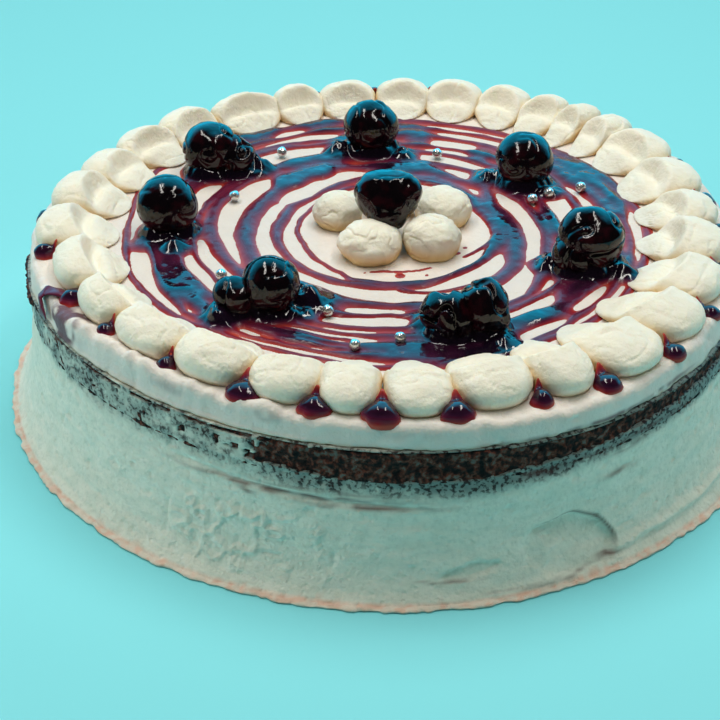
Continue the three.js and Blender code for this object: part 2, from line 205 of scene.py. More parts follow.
def around(angle, rows, column):
    """Reads a closed list of rows, which start with an angle, at any angle."""
    rows = sorted(rows)
    return np.interp(angle, [r[0] for r in rows], [r[column] for r in rows], period=360)


# ---- the cake's own outline
def swell(angle, lobes):
    """How far the outline lies outside a circle, from its two-sided and three-sided lobes."""
    two, three = np.radians(2 * angle), np.radians(3 * angle)
    waves = (np.cos(two), np.sin(two), np.cos(three), np.sin(three))
    return sum(lobe * wave for lobe, wave in zip(lobes, waves))


def outline_scale(angle, z):
    up = np.clip(z / CAKE_HEIGHT, 0, 1)
    return 1 + ((1 - up) * swell(angle, BASE_LOBES) + up * swell(angle, TOP_LOBES)) / SPONGE_RADIUS


def profile_radius(profile, angle, z):
    return np.interp(z, [p[1] for p in profile], [p[0] for p in profile]) * outline_scale(angle, z)


def rim_radius(angle):
    return RIM_RADIUS + swell(angle, TOP_LOBES)


def dollop_foot(angle):
    return rim_radius(angle) - around(angle, HEAD_INSETS, 1)


def sauce_edge(angle):
    return SAUCE_EDGE + SAUCE_EDGE_SHIFT * np.cos(np.radians(angle - SAUCE_EDGE_TOWARDS))


def beside(radius, sideways, angle, z):
    """Places at a distance along the ray at an angle, and off to its side."""
    t = np.radians(angle)
    x, y = radius * np.cos(t) - sideways * np.sin(t), radius * np.sin(t) + sideways * np.cos(t)
    return np.stack([x, y, z], -1)


def settle(points):
    """The settled cake leans: every height changes with its place."""
    leaned = np.array(points, float)
    leaned[..., 2] *= 1 + (LEAN[0] * leaned[..., 0] + LEAN[1] * leaned[..., 1]) / CAKE_HEIGHT
    return leaned


def polar(radius, angle, z):
    t = np.radians(angle)
    return np.stack(np.broadcast_arrays(radius * np.cos(t), radius * np.sin(t), z), -1)


# ---- meshes
def triangles_of(quads):
    return np.concatenate([quads[:, [0, 1, 2]], quads[:, [0, 2, 3]]])


def ring_faces(rows, columns, start=0):
    """Triangles between the rings of a closed form, whose poles come after its rings."""
    i = np.arange(rows - 1)[:, None] * columns
    j = np.arange(columns)[None, :]
    k = (j + 1) % columns
    quads = np.stack(np.broadcast_arrays(i + j, i + k, i + columns + k, i + columns + j), -1).reshape(-1, 4)
    first = rows * columns
    j, k = j[0], k[0]
    last_ring = (rows - 1) * columns
    low_fan = np.stack([k, j, np.full(columns, first)], -1)
    high_fan = np.stack([last_ring + j, last_ring + k, np.full(columns, first + 1)], -1)
    return np.concatenate([triangles_of(quads), low_fan, high_fan]) + start


def full_turn(columns):
    return np.linspace(-180, 180, columns, endpoint=False)[None, :]


def closed_form(rings):
    """Points and triangles of rings of shape (rows, columns, 3), closed by a pole at each end."""
    rows, columns = rings.shape[:2]
    points = np.concatenate([rings.reshape(-1, 3), rings[:1].mean(1), rings[-1:].mean(1)])
    return points, ring_faces(rows, columns)


def joined(forms):
    """Several (points, triangles) forms as one."""
    points, faces, count = [], [], 0
    for form_points, form_faces in forms:
        points.append(form_points)
        faces.append(form_faces + count)
        count += len(form_points)
    return np.concatenate(points), np.concatenate(faces)


def make_piece(name, points, faces, material, slot, replaced, **attributes):
    """A smooth mesh piece from points in millimetres, riding on the cake."""
    mesh = bpy.data.meshes.new(name)
    mesh.vertices.add(len(points))
    mesh.vertices.foreach_set("co", (settle(points) * MM).astype(np.float32).ravel())
    mesh.loops.add(faces.size)
    mesh.loops.foreach_set("vertex_index", faces.astype(np.int32).ravel())
    mesh.polygons.add(len(faces))
    mesh.polygons.foreach_set("loop_start", np.arange(0, faces.size, 3, dtype=np.int32))
    mesh.update(calc_edges=True)
    mesh.shade_smooth()
    for attribute, values in attributes.items():
        layer = mesh.attributes.new(attribute, "FLOAT", "POINT")
        layer.data.foreach_set("value", np.asarray(values, np.float32))
    mesh.materials.append(material)
    piece = bpy.data.objects.new(name, mesh)
    bpy.context.scene.collection.objects.link(piece)
    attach(piece, "root")
    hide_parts(*replaced)
    return piece


# ---- materials
def mixed(nodes, links, share, first, second):
    """Adds a mix of two colours, each a tuple or a socket."""
    node = nodes.new("ShaderNodeMix")
    node.data_type = "RGBA"
    links.new(share, node.inputs["Factor"])
    for socket, colour in (("A", first), ("B", second)):
        target = [i for i in node.inputs if i.name == socket and i.type == "RGBA"][0]
        if isinstance(colour, tuple):
            target.default_value = (*colour, 1)
        else:
            links.new(colour, target)
    return [o for o in node.outputs if o.type == "RGBA"][0]


class Paint:
    """A material's nodes, with short ways to add the ones used here."""

    def __init__(self, name):
        self.material = bpy.data.materials.new(name)
        self.material.use_nodes = True
        self.nodes = self.material.node_tree.nodes
        self.links = self.material.node_tree.links
        self.shader = self.nodes["Principled BSDF"]
        self.place = self.nodes.new("ShaderNodeTexCoord").outputs["Object"]

    def set(self, **values):
        for socket, value in values.items():
            self.shader.inputs[socket.replace("_", " ")].default_value = value

    def link(self, source, socket):
        self.links.new(source, self.shader.inputs[socket])

    def noise(self, size_mm, detail=3.0, stretch=(1, 1, 1)):
        mapping = self.nodes.new("ShaderNodeMapping")
        mapping.inputs["Scale"].default_value = stretch
        self.links.new(self.place, mapping.inputs["Vector"])
        node = self.nodes.new("ShaderNodeTexNoise")
        node.inputs["Scale"].default_value = 1 / (size_mm * MM)
        node.inputs["Detail"].default_value = detail
        self.links.new(mapping.outputs[0], node.inputs["Vector"])
        return node.outputs["Fac"]

    def pores(self, size_mm):
        node = self.nodes.new("ShaderNodeTexVoronoi")
        node.inputs["Scale"].default_value = 1 / (size_mm * MM)
        self.links.new(self.place, node.inputs["Vector"])
        return self.steps(node.outputs["Distance"], 0.12, 0.3)

    def attribute(self, name):
        node = self.nodes.new("ShaderNodeAttribute")
        node.attribute_name = name
        return node.outputs["Fac"]

    def steps(self, value, low, high, to_low=0.0, to_high=1.0):
        node = self.nodes.new("ShaderNodeMapRange")
        node.interpolation_type = "SMOOTHSTEP"
        limits = {"From Min": low, "From Max": high, "To Min": to_low, "To Max": to_high}
        for socket, number in limits.items():
            node.inputs[socket].default_value = number
        self.links.new(value, node.inputs["Value"])
        return node.outputs["Result"]

    def mix(self, share, first, second):
        return mixed(self.nodes, self.links, share, first, second)

    def ramp(self, value, *stops):
        node = self.nodes.new("ShaderNodeValToRGB")
        ramp = node.color_ramp
        while len(ramp.elements) < len(stops):
            ramp.elements.new(0.5)
        for element, (position, colour) in zip(ramp.elements, stops):
            element.position = position
            element.color = (*colour, 1)
        self.links.new(value, node.inputs["Fac"])
        return node.outputs["Color"]

    def multiply(self, first, second):
        node = self.nodes.new("ShaderNodeMath")
        node.operation = "MULTIPLY"
        self.links.new(first, node.inputs[0])
        self.links.new(second, node.inputs[1])
        return node.outputs[0]

    def bump(self, *layers):
        """Relief from (height source, height in millimetres) pairs."""
        normal = None
        for height, millimetres in layers:
            node = self.nodes.new("ShaderNodeBump")
            node.inputs["Distance"].default_value = millimetres * MM
            self.links.new(height, node.inputs["Height"])
            if normal is not None:
                self.links.new(normal, node.inputs["Normal"])
            normal = node.outputs["Normal"]
        self.link(normal, "Normal")


def srgb(red, green, blue):
    """A colour given as 0 to 255 values, in linear light."""
    shares = (red / 255, green / 255, blue / 255)
    return tuple(c / 12.92 if c <= 0.04 else ((c + 0.055) / 1.055) ** 2.4 for c in shares)


def cream_material(name, light, fold_shade_colour, scatter):
    paint = Paint(name)
    folds = paint.attribute("fold")
    mottle = paint.steps(paint.noise(7), 0.35, 0.7)
    plain = paint.mix(mottle, light, tuple(c * 0.965 for c in light))
    # Painted shade: where the fold share is high, the cream is darkened towards a warm yellow, as shade in
    # its folds and undercuts.
    fold_shaded = paint.mix(folds, plain, fold_shade_colour)
    stained = paint.mix(paint.attribute("stain"), fold_shaded, srgb(92, 34, 56))
    paint.link(stained, "Base Color")
    paint.set(Roughness=0.52, Subsurface_Weight=scatter, Subsurface_Scale=0.004, Specular_IOR_Level=0.35)
    paint.shader.inputs["Subsurface Radius"].default_value = (1.0, 0.75, 0.45)
    paint.bump((paint.noise(1.2, 4), 0.3), (paint.pores(2.3), 0.05), (paint.noise(4, 3), 0.55))
    return paint.material


def frosting_material():
    paint = Paint("frosting_smeared")
    thin = paint.attribute("thin")
    streak = paint.attribute("streak")
    mottle = paint.steps(paint.noise(9, 4, (1, 1, 3)), 0.35, 0.65)
    # Painted reflected light: the frosting's colours lean a little blue-green, standing in for light thrown
    # back from the blue-green surroundings.
    plain = paint.mix(mottle, srgb(240, 240, 228), srgb(228, 232, 220))
    crumb = paint.multiply(paint.steps(paint.noise(1.5, 4), 0.47, 0.6), paint.steps(thin, 0.1, 0.7))
    dots = paint.mix(paint.steps(paint.noise(1.6, 5), 0.45, 0.75, 0.0, 0.25), plain, srgb(170, 180, 170))
    # Where the frosting is thin, it darkens to a veil: the darkening is the sponge showing through, and its
    # blue-green hue is painted reflected light.
    veil_with_painted_bounce = paint.mix(paint.steps(thin, 0.0, 0.8, 0.0, 0.8), dots, srgb(84, 104, 106))
    # Dark specks of sponge crumb, where the frosting is thin.
    crumb_specked = paint.mix(crumb, veil_with_painted_bounce, srgb(58, 42, 42))
    # Brown smears of sponge crumb, and a painted shadow along the upper right rim of the thumb dent.
    smeared = paint.mix(streak, crumb_specked, srgb(98, 46, 42))
    stained = paint.mix(paint.attribute("stain"), smeared, srgb(238, 188, 166))
    paint.link(stained, "Base Color")
    paint.set(Roughness=0.6, Subsurface_Weight=0.12, Subsurface_Scale=0.003, Specular_IOR_Level=0.3)
    paint.shader.inputs["Subsurface Radius"].default_value = (1.0, 0.8, 0.55)
    paint.bump((paint.noise(1.3, 4), 0.3), (paint.pores(3.2), 0.15), (paint.noise(5, 4, (1, 1, 1.6)), 0.75))
    return paint.material


def sponge_material():
    paint = Paint("sponge_crumb")
    crumb = paint.noise(2.2, 6)
    colour = paint.ramp(crumb, (0.36, srgb(14, 11, 13)), (0.48, srgb(54, 31, 28)), (0.56, srgb(108, 56, 43)),
                        (0.66, srgb(104, 98, 94)))
    paint.link(colour, "Base Color")
    paint.set(Roughness=0.85, Specular_IOR_Level=0.3)
    paint.bump((crumb, 0.7), (paint.pores(1.5), 0.4))
    return paint.material


def sauce_material():
    paint = Paint("cherry_sauce")
    depth = paint.attribute("depth")
    colour = paint.ramp(depth, (0.0, srgb(188, 74, 58)), (0.2, srgb(146, 34, 42)), (0.45, srgb(104, 30, 54)),
                        (0.7, srgb(60, 22, 48)), (1.0, srgb(20, 9, 24)))
    paint.link(colour, "Base Color")
    paint.link(paint.steps(depth, 0.3, 0.9, 0.34, 0.1), "Roughness")
    paint.link(paint.steps(depth, 0.5, 1.0, 0.2, 0.6), "Specular IOR Level")
    paint.set(Coat_Weight=0.05, Coat_Roughness=0.05)
    paint.bump((paint.noise(2.8, 1), 0.22), (paint.noise(7, 1), 0.6))
    return paint.material


def cherry_material():
    paint = Paint("cherry_skin")
    blush = paint.steps(paint.noise(5, 3), 0.45, 0.75)
    paint.link(paint.mix(blush, srgb(10, 5, 8), srgb(40, 9, 16)), "Base Color")
    paint.set(Roughness=0.09, Specular_IOR_Level=0.45)
    paint.bump((paint.noise(3.5, 3), 0.25))
    return paint.material


def silver_material():
    paint = Paint("silver_coat")
    paint.link(paint.mix(paint.noise(0.8, 2), srgb(236, 236, 234), srgb(196, 200, 202)), "Base Color")
    paint.set(Metallic=0.8, Roughness=0.24)
    paint.bump((paint.noise(0.9, 2), 0.12))
    return paint.material


# The second colour of each cream is painted shade, put where the fold share is high.
CREAM = cream_material("cream_piped", srgb(249, 243, 227), srgb(236, 198, 128), 0.25)
SLAB = cream_material("cream_smooth", srgb(238, 229, 222), srgb(208, 172, 128), 0.15)
FROSTING = frosting_material()
SPONGE = sponge_material()
SAUCE = sauce_material()
CHERRY = cherry_material()
SILVER = silver_material()

# ---- the frosted wall
# Where the sponge shows: angle, lowest and highest bare height, and how bare it is there
BARE_BAND = [(-180, 46.5, 50.8, 0.22), (-165, 45, 50.9, 0.24), (-150, 44, 51, 0.2), (-130, 43.5, 51, 0.22),
             (-118, 43.5, 50.8, 0.24), (-110, 43, 51, 0.5), (-104, 42, 51, 0.8), (-98, 41, 51.2, 1),
             (-78, 41.4, 51.2, 1), (-68, 43.4, 51, 0.85), (-56, 45, 51, 0.8), (-40, 46, 51, 0.75),
             (-10, 45, 51, 0.7), (30, 44, 50.6, 0.4), (60, 45, 50.6, 0.3), (90, 43, 51, 0.6),
             (120, 44, 51, 0.4), (150, 46, 50.8, 0.25)]
FILM = 0.5
BARE_DEPTH = 1.7
# Brown smears on the frosting: angle, height, half angle, half height, strength
SMEARS = [(-70, 40, 3, 1.2, 0.8), (-56.5, 39.5, 3.5, 1.4, 0.8), (-57, 31, 2.4, 1, 0.7),
          (-111, 32, 1.4, 1.1, 1), (-105, 33.6, 16, 0.8, 0.9), (-93, 31.6, 9, 0.8, 0.8),
          (-100, 35.6, 12, 0.7, 0.5), (-60, 4, 1.8, 0.8, 0.9), (-69, 2.8, 9, 0.35, 0.7),
          (-83, 6.8, 4, 0.3, 0.6), (-108, 33, 2.4, 0.8, 0.7), (-62, 41, 9, 0.8, 0.6), (-50, 42, 8, 0.8, 0.6),
          (20, 37, 5, 0.8, 0.6), (80, 34, 9, 0.6, 0.5), (140, 30, 6, 0.7, 0.5), (175, 36, 4, 0.8, 0.6)]


def band_bareness(angle, z, points):
    low, high, share = (around(angle, BARE_BAND, c) for c in (1, 2, 3))
    low = low + rough(points, (0.7, 9, 31), (0.5, 2.5, 32))
    window = smooth(z, low - 0.6, low + 0.5) * (1 - smooth(z, high - 0.3, high + 0.3))
    speckle = 0.2 * noise(points, 4, 33) + 0.26 * noise(points * [1, 1, 1.4], 1.7, 34)
    crack = inside_arc(angle, -168, -102, 5) * smooth(z, 50.1, 50.5) * (1 - smooth(z, 51.3, 51.6))
    torn = smooth(noise(points * [1, 1, 2.5], 5, 35), -0.6, -0.2)
    return np.maximum(window * np.clip(share + speckle, 0, 1.2), crack * torn)


def dent_inside(angle, z):
    """How far inside the thumb dent a place lies: 1 in its middle, 0 on its edge and less outside."""
    across = turn_between(angle, DENT["angle"]) / DENT["half_angle"]
    up = (z - DENT["height"]) / DENT["half_height"] + 0.2 * across
    wander = 0.25 * noise(polar(130.0, angle, z), 8, 10)
    return 1 - (1 - wander) * (across ** 2 + up ** 2)


def dent_depth(angle, z):
    """The thumb dent and a sliver beside it, steepest at the upper right."""
    across = turn_between(angle, DENT["angle"]) / DENT["half_angle"]
    up = (z - DENT["height"]) / DENT["half_height"]
    inside = dent_inside(angle, z)
    aside = turn_between(angle, -80)
    small = 1 - (aside / 4.5) ** 2 - ((z - 9.5 - 0.35 * aside) / 2.4) ** 2
    steeper = 0.4 + 0.6 * smooth(across + up, -0.5, 0.9)
    return DENT["depth"] * smooth(inside, 0, 0.4) * steeper + 1.1 * smooth(small, 0, 0.4)


def wall_relief(angle, z, points):
    smear = 0.5 * noise(points * [1, 1, 2.2], 30, 1) + 0.25 * noise(points * [1, 1, 5], 18, 2)
    grain = rough(points, (0.12, 4, 3), (0.07, 1.6, 4))
    pits = 0.5 * smooth(noise(points, 3.4, 5), 0.62, 0.8)
    lines = noise(points * [1, 1, 0.7], 10, 6) + 0.5 * noise(points, 3.4, 8)
    veins = 0.8 * lines_of(lines, 0.86, 0.98)
    where = inside_arc(angle, -124, -98, 8) * smooth(z, 3, 6) * (1 - smooth(z, 22, 28))
    where = where + inside_arc(angle, -72, -50, 8) * (1 - smooth(z, 14, 22)) * 0.6
    line = 35.5 - 0.12 * turn_between(angle, -122) + 0.5 * noise(points, 8, 7)
    groove = 0.8 * np.exp(-((z - line) / 0.8) ** 2) * inside_arc(angle, -124, -86, 6)
    fold_line = 7.5 + 0.06 * turn_between(angle, -40) + 1.2 * noise(points, 9, 21)
    fold = np.exp(-((z - fold_line) / 1.1) ** 2) * inside_arc(angle, -60, -16, 8)
    return smear + grain - pits + veins * where - groove + 1.1 * fold


def frosting():
    """The wall: a body with a thin skin that climbs over the sponge layer and leaves it bare in places."""
    angle = full_turn(980)
    heights = np.concatenate([np.linspace(2.2, 40, 58), np.linspace(40.5, 51.9, 30)])[:, None]
    wall = polar(130.0, angle, heights)
    bare = smooth(band_bareness(angle, heights, wall), 0.42, 0.6)
    covered = smooth(heights, 40.6, 42.2)
    relief = wall_relief(angle, heights, wall) * (1 - 0.55 * covered)
    offset = relief + covered * (FILM - (FILM + BARE_DEPTH) * bare) - dent_depth(angle, heights)
    offset = offset - 1.2 * smooth(heights, 51, 51.9) * smooth(around(angle, BARE_BAND, 3), 0.3, 0.5)
    wall = polar(profile_radius(WALL_PROFILE, angle, heights) + offset, angle, heights)

    # The thin smeared foot, crumbly at its edge
    ring = polar(FOOT_RADIUS, angle, 0.0)
    ragged = rough(ring, (0.9, 6, 11), (0.6, 2, 12)) - 0.6
    edge = FOOT_RADIUS * outline_scale(angle, 0) + np.minimum(ragged, 0)
    top = 1.0 + 0.4 * noise(ring, 3, 13)
    shelf = profile_radius(WALL_PROFILE, angle, 2.0) + 0.4
    foot = [(edge - 1.2, 0.0), (edge - 0.2, 0.1), (edge, 0.45), (edge - 0.3, 0.75 * top), (edge - 0.9, top)]
    for share in (0.3, 0.6, 0.9):
        lumps = 0.4 * noise(ring + share * 9, 2.2, 14)
        foot.append(((edge - 0.9) * (1 - share) + shelf * share, top + 0.2 * share + lumps))
    foot = np.concatenate([polar(radius, angle, z) for radius, z in foot])

    lid = ((3, 51.6), (4, 48))
    inner = [polar(profile_radius(WALL_PROFILE, angle, z) - inset, angle, z) for inset, z in lid]
    rings = np.concatenate([foot, wall, *inner])
    points, faces = closed_form(rings)
    points[-1, 2] = 48

    foot_rows = np.zeros((len(foot), angle.shape[1]))
    low = around(angle, BARE_BAND, 1)
    patches = 0.55 + 0.35 * inside_arc(angle, -85, -15, 20) + 0.3 * noise(wall * [1, 1, 0.5], 10, 19)
    thin = smooth(heights, low - 10, low - 1) * np.clip(patches + 0.25 * noise(wall, 2.4, 20), 0, 1)
    thin = np.maximum(thin, covered * smooth(bare, 0, 0.3))
    streak = np.zeros_like(thin)
    wobble = 0.8 * noise(wall, 6, 15)
    broken = smooth(noise(wall * [0.4, 0.4, 1.5], 2, 16), -0.8, 0)
    for *smear, strength in SMEARS:
        far = far_from(angle, heights + wobble, *smear)
        streak = np.maximum(streak, strength * np.exp(-far) * broken)
    # Painted shadow: a brown line along the upper right rim of the thumb dent, where its overhang throws
    # shade, added to the smears.
    dent_rim_shadow = np.exp(-((dent_inside(angle, heights) - 0.1) / 0.1) ** 2)
    upper_right = smooth(turn_between(angle, DENT["angle"]) / 9 + (heights - DENT["height"]) / 11, 0.1, 0.8)
    streak = np.maximum(streak, 0.8 * dent_rim_shadow * upper_right)
    stain = 0.5 * smooth(noise(wall, 3, 17), 0.3, 0.8) * (1 - smooth(heights, 1, 4))
    pink = foot_rows + 0.35 + 0.45 * smooth(noise(foot, 1.8, 18), -0.2, 0.6)
    rest = np.zeros((len(inner), angle.shape[1]))

    def whole(low, middle):
        return np.concatenate([low.ravel(), middle.ravel(), rest.ravel(), [0, 0]])

    return make_piece("frosted_wall", points, faces, FROSTING, "frosting", ["cake_base"],
                      thin=whole(foot_rows, thin), streak=whole(foot_rows, streak), stain=whole(pink, stain))


def sponge():
    """The dark baked layer: craggy crumb all round, with a rough lip at the left."""
    angle = full_turn(1080)
    heights = np.linspace(SPONGE_BOTTOM - 0.9, SPONGE_TOP + 0.5, 34)[:, None]
    place = polar(SPONGE_RADIUS, angle, heights)
    crags = rough(place, (0.55, 4, 41), (0.45, 1.7, 42), (0.3, 0.9, 43))
    lip = 1.5 * inside_arc(angle, -182, -164, 6) * smooth(heights, 47.5, 49.5)
    ends = -1.6 * (smooth(heights, SPONGE_TOP - 0.1, SPONGE_TOP + 0.5))
    radius = profile_radius(WALL_PROFILE, angle, heights) + crags + lip + ends - 0.1
    rings = polar(radius, angle, heights)
    points, faces = closed_form(rings)
    return make_piece("sponge_crumb_layer", points, faces, SPONGE, "sponge", ["sponge_layer"])


def top_relief(x, y):
    return 0.18 * flat_noise(x, y, 26, 51) + 0.05 * flat_noise(x, y, 6, 52)


# Stains on the cream's rim: angle, height, half angle, half height, strength
STAINS = [(-151.5, 57.5, 4.2, 5.6, 2.2), (-125, 58, 3, 2, 0.35), (-109, 58.4, 3, 2, 0.35),
          (-88, 57, 5, 1.6, 0.15), (-59, 52.9, 8, 0.9, 0.8), (-46, 53.6, 6, 0.8, 0.7),
          (-72, 52.6, 6, 0.7, 0.5), (-20, 57, 4, 1.5, 0.3), (30, 57, 4, 2.5, 0.4), (75, 56, 3, 3, 0.6),
          (130, 57, 4, 2.5, 0.4)]
STAINED_FROM = 118.0
# Folds raised along the rim: angle, half angle and height
RIM_FOLDS = [(-110, 4, 1.9), (-143, 6, 2.3), (-131, 7, 2.2), (-120, 4, 1.7), (-84, 7, 0.4), (-36, 7, 1.2),
             (25, 6, 1.2), (95, 8, 1.3), (150, 6, 1)]


def cream_slab():
    """The smooth cream on the sponge, with its rounded rim and the ledge outside the dollops."""
    angle = full_turn(960)
    heights = np.concatenate([np.linspace(51.4, 58, 12), [58.8, 59.4, 59.8, 60.0]])[:, None]
    place = polar(129.0, angle, heights)
    ring = place[-1:]
    wave = 0.7 * noise(place * [1, 1, 0.4], 24, 53) + 0.5 * noise(place, 9, 54)
    relief = wave + 0.22 * noise(place, 3, 55) - 0.4 * smooth(noise(place, 3.4, 56), 0.6, 0.8)
    relief = relief + 0.55 * noise(place * [1, 1, 0.2], 4, 50) * smooth(heights, 54, 59.5)
    tuck = 1.5 * (1 - smooth(heights, 51.4, 52.2 + 0.9 * noise(place[:1], 3, 57)))
    lip = 0.6 * inside_arc(angle, -168, -102, 6) * np.exp(-((heights - 52.8) / 0.5) ** 2)
    crest = 0.5 * noise(ring, 7, 58)
    for at, half_angle, raised in RIM_FOLDS:
        crest = crest + raised * np.exp(-(turn_between(angle, at) / half_angle) ** 4)
    crest = crest * (1 + 0.5 * noise(ring, 5, 47)) + (0.3 + 0.25 * np.abs(crest)) * noise(ring, 2.4, 48)
    side = polar(profile_radius(SLAB_PROFILE, angle, heights) + relief - tuck + lip - 0.3, angle,
                 heights + crest * smooth(heights, 55.5, 60))
    inner_radius = profile_radius(SLAB_PROFILE, angle, heights[-1:]) + relief[-1:] - 0.3
    shares = [np.linspace(0.995, 0.93, 9), np.linspace(0.915, 0.76, 9), np.linspace(0.73, 0.04, 20)]
    share = np.concatenate(shares)[:, None]
    flat = polar(inner_radius * share, angle, 0.0)
    calm = top_relief(flat[..., 0], flat[..., 1]) * smooth(1 - share, 0, 0.05)
    flat[..., 2] = CAKE_HEIGHT + calm + crest * smooth(share, 0.955, 0.995)
    low = polar(profile_radius(SLAB_PROFILE, angle, 51.4) - 4.0, angle, 51.3)
    rings = np.concatenate([low, side, flat])
    points, faces = closed_form(rings)
    stain = np.zeros(rings.shape[:2])
    rows = rings[..., 2]
    ragged = smooth(noise(rings, 3, 59), -0.6, 0.2)
    near_rim = np.hypot(rings[..., 0], rings[..., 1]) > STAINED_FROM
    for *spot, strength in STAINS:
        far = far_from(angle, rows, *spot)
        stain = np.maximum(stain, np.minimum(strength * np.exp(-far ** 1.5) * ragged, 0.9) * near_rim)
    # Painted shade: the fold share is high along the tucked lower edge of the slab, strongest from -168 to
    # -102 degrees, where the cream is painted darker and yellower as shade.
    fold = np.exp(-((rows - 51.9) / 0.7) ** 2) * (0.5 + 0.4 * inside_arc(angle, -168, -102, 6))
    ends = [0, 0]
    return make_piece("cream_slab", points, faces, SLAB, "cream", ["cream_top"],
                      stain=np.concatenate([stain.ravel(), ends]), fold=np.concatenate([fold.ravel(), ends]))


# ---- sauce
GRID_STEP = 0.5
FIELD_HALF = 112.0


def thread_field(x, y, radius, angle, rows, closed):
    """How strongly one thread covers each place: 1 on its middle line and 0.5 on its edge."""
    if closed:
        middle, width = around(angle, rows, 1), around(angle, rows, 2)
        ends = 1.0
    else:
        angles = [r[0] for r in rows]
        middle = np.interp(angle, angles, [r[1] for r in rows])
        width = np.interp(angle, angles, [r[2] for r in rows])
        ends = inside_arc(angle, angles[0], angles[-1], 4)
    width = width * (1 + 0.16 * flat_noise(x, y, 9, 61))
    cover = np.exp(-np.log(2) * (2 * (radius - middle) / width) ** 2) * ends
    return cover, cover * (0.5 + 0.085 * width)


def sauce_height(x, y):
    """Height of the sauce over the cream: above 0 where there is sauce, and below 0 elsewhere."""
    warp = 0.75 * flat_noise(x, y, 15, 62) + 0.35 * flat_noise(x, y, 4.5, 63)
    radius, angle = np.hypot(x, y) + warp, np.degrees(np.arctan2(y, x))
    cover, thick = np.zeros_like(x), np.zeros_like(x)
    for rows in CLOSED_THREADS + OPEN_THREADS:
        more = thread_field(x, y, radius, angle, rows, rows in CLOSED_THREADS)
        cover, thick = cover + more[0], thick + more[1]
    for middle_x, middle_y, half_length, half_width, direction in POOLS:
        t = np.radians(direction)
        dx, dy = x - middle_x + warp, y - middle_y + warp
        along = (dx * np.cos(t) + dy * np.sin(t)) / half_length
        across = (dy * np.cos(t) - dx * np.sin(t)) / half_width
        pool = np.exp(-np.log(2) * (along ** 2 + across ** 2) ** 1.6)
        cover, thick = cover + pool, thick + 1.0 * pool
    for middle_x, middle_y, spot in SPOTS:
        drop = np.exp(-np.log(2) * ((x - middle_x) ** 2 + (y - middle_y) ** 2) / spot ** 2)
        cover, thick = cover + drop, thick + 0.5 * drop
    collar = np.zeros_like(x)
    uneven = 1 + 0.4 * flat_noise(x, y, 7, 66) + 0.3 * flat_noise(x, y, 2.6, 67)
    for middle_x, middle_y, reach, tall in MOUNDS:
        away = np.hypot(x - middle_x, y - middle_y) / reach + 0.05 * warp
        cover = cover + 1 - smooth(away, 0.7, 1.1)
        collar = np.maximum(collar, tall * uneven * (1 - smooth(away, 0.1, 1.05)))
    for middle_x, middle_y, lumps in CHERRIES:
        for dx, dy, size_x, size_y, _ in lumps:
            away = np.hypot((x - middle_x - dx) / size_x, (y - middle_y - dy) / size_y) + 0.03 * warp
            cover = cover + np.exp(-np.log(2) * (away * 11 / SKIRT) ** 6)
            thick = thick + np.exp(-np.clip(away - 0.72, 0, 9) * 5)
            collar = np.maximum(collar, 3.6 * uneven * (1 - smooth(away, 0.78, 1.16)))
    share = (cover - 0.5) / 0.5
    ripple = 1 + 0.12 * flat_noise(x, y, 3.2, 64) + 0.2 * flat_noise(x, y, 7, 65)
    thick = np.minimum(thick, 1.5 + 0.35 * np.clip(thick - 1.5, 0, 3)) * ripple
    thick = np.minimum(thick, 2.6) + collar
    return np.sign(share) * thick * np.sqrt(np.clip(np.abs(share), 0, 1)) - 0.02


def sauce():
    """The drizzled sauce as one closed sheet with rounded edges, its underside sunk into the cream."""
    line = np.arange(-FIELD_HALF, FIELD_HALF + GRID_STEP / 2, GRID_STEP)
    x, y = np.meshgrid(line, line, indexing="ij")
    height = np.maximum(sauce_height(x, y), -0.5)
    count = len(line)
    index = np.arange(count * count).reshape(count, count)
    corners = np.stack([index[:-1, :-1], index[1:, :-1], index[1:, 1:], index[:-1, 1:]], -1).reshape(-1, 4)
    wet = (height.ravel()[corners] > 0).any(1)
    corners = corners[wet]
    used, corners = np.unique(corners, return_inverse=True)
    corners = corners.reshape(-1, 4)
    base = CAKE_HEIGHT + top_relief(x, y)
    top = np.stack([x, y, base + height], -1).reshape(-1, 3)[used]
    under = np.stack([x, y, base - 0.9], -1).reshape(-1, 3)[used]
    upper = triangles_of(corners)
    edges = np.concatenate([corners[:, [0, 1]], corners[:, [1, 2]], corners[:, [2, 3]], corners[:, [3, 0]]])
    forward = set(map(tuple, edges))
    border = np.array([e for e in edges if (e[1], e[0]) not in forward])
    size = len(used)
    sides = np.stack([border[:, 1], border[:, 0], border[:, 0] + size, border[:, 1] + size], -1)
    faces = np.concatenate([upper, upper[:, ::-1] + size, triangles_of(sides)])
    piece = make_piece("cherry_sauce", np.concatenate([top, under]), faces, SAUCE, "sauce", ["cream_top"])
    thin_out(piece, 170000)
    mark_depth(piece)
    return piece


def thin_out(piece, most):
    """Brings a mesh under a number of triangles, where it is flat first."""
    triangles = len(piece.data.polygons)
    if triangles > most:
        modifier = piece.modifiers.new("thin", "DECIMATE")
        modifier.ratio = most / triangles
        graph = bpy.context.evaluated_depsgraph_get()
        lighter = bpy.data.meshes.new_from_object(piece.evaluated_get(graph))
        piece.modifiers.clear()
        heavy, piece.data = piece.data, lighter
        bpy.data.meshes.remove(heavy)
        lighter.name = piece.name


